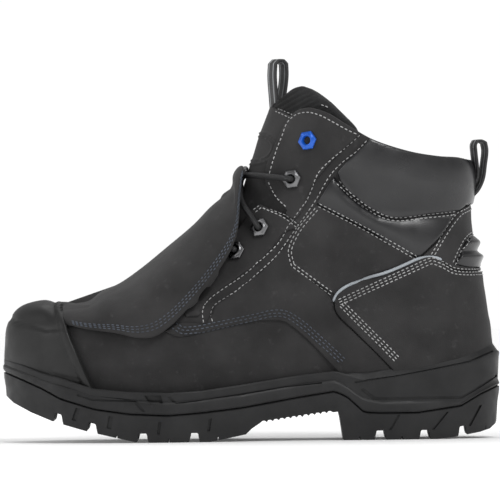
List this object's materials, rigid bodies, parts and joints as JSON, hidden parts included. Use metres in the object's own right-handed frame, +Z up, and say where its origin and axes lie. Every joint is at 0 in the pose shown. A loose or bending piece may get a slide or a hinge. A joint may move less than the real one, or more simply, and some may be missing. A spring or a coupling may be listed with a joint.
{
  "type": "metatarsal guard boot",
  "caption": "Left ankle-high safety boot with padded collar, laced throat, rubber toe bumper, lugged sole and a moulded guard over the instep.",
  "frame": {"origin": "on the floor under the middle of the heel, on the bottom face of the heel lug", "axes": "+X towards the heel, the toe points along -X; -Y is the outer (little toe) side of the left foot, +Y the inner side; +Z up"},
  "size_m": [0.3116, 0.1163, 0.2394],
  "materials": {
    "nubuck": "matt nubuck",
    "smooth_leather": "smooth semi-gloss leather",
    "sole_rubber": "matt moulded rubber",
    "bumper_rubber": "satin moulded rubber",
    "mesh_lining": "padded mesh",
    "insole_felt": "felted fabric",
    "lace_cord": "braided round cord",
    "webbing": "woven webbing",
    "gunmetal": "satin gunmetal",
    "blue_metal": "satin blue"
  },
  "bodies": {
    "root": {"back_stay": "nubuck", "collar_crescent_inner": "smooth_leather", "collar_crescent_outer": "smooth_leather", "collar_pad": "smooth_leather", "eyelet_1_inner": "blue_metal", "eyelet_1_outer": "blue_metal", "eyelet_2_inner": "gunmetal", "eyelet_2_outer": "gunmetal", "eyelet_3_inner": "gunmetal", "eyelet_3_outer": "gunmetal", "eyelet_4_inner": "gunmetal", "eyelet_4_outer": "gunmetal", "eyestay_lower_inner": "nubuck", "eyestay_lower_outer": "nubuck", "eyestay_upper_inner": "nubuck", "eyestay_upper_outer": "nubuck", "flex_pad": "smooth_leather", "heel_counter": "nubuck", "heel_loop": "webbing", "insole": "insole_felt", "lace_bar": "lace_cord", "lace_crossing": "lace_cord", "metatarsal_guard": "nubuck", "midsole": "sole_rubber", "outsole": "sole_rubber", "quarter_inner": "nubuck", "quarter_outer": "nubuck", "toe_bumper": "bumper_rubber", "tongue_facing": "nubuck", "tongue_loop": "webbing", "tongue_pad": "mesh_lining", "upper": "nubuck"}
  },
  "joints": []
}
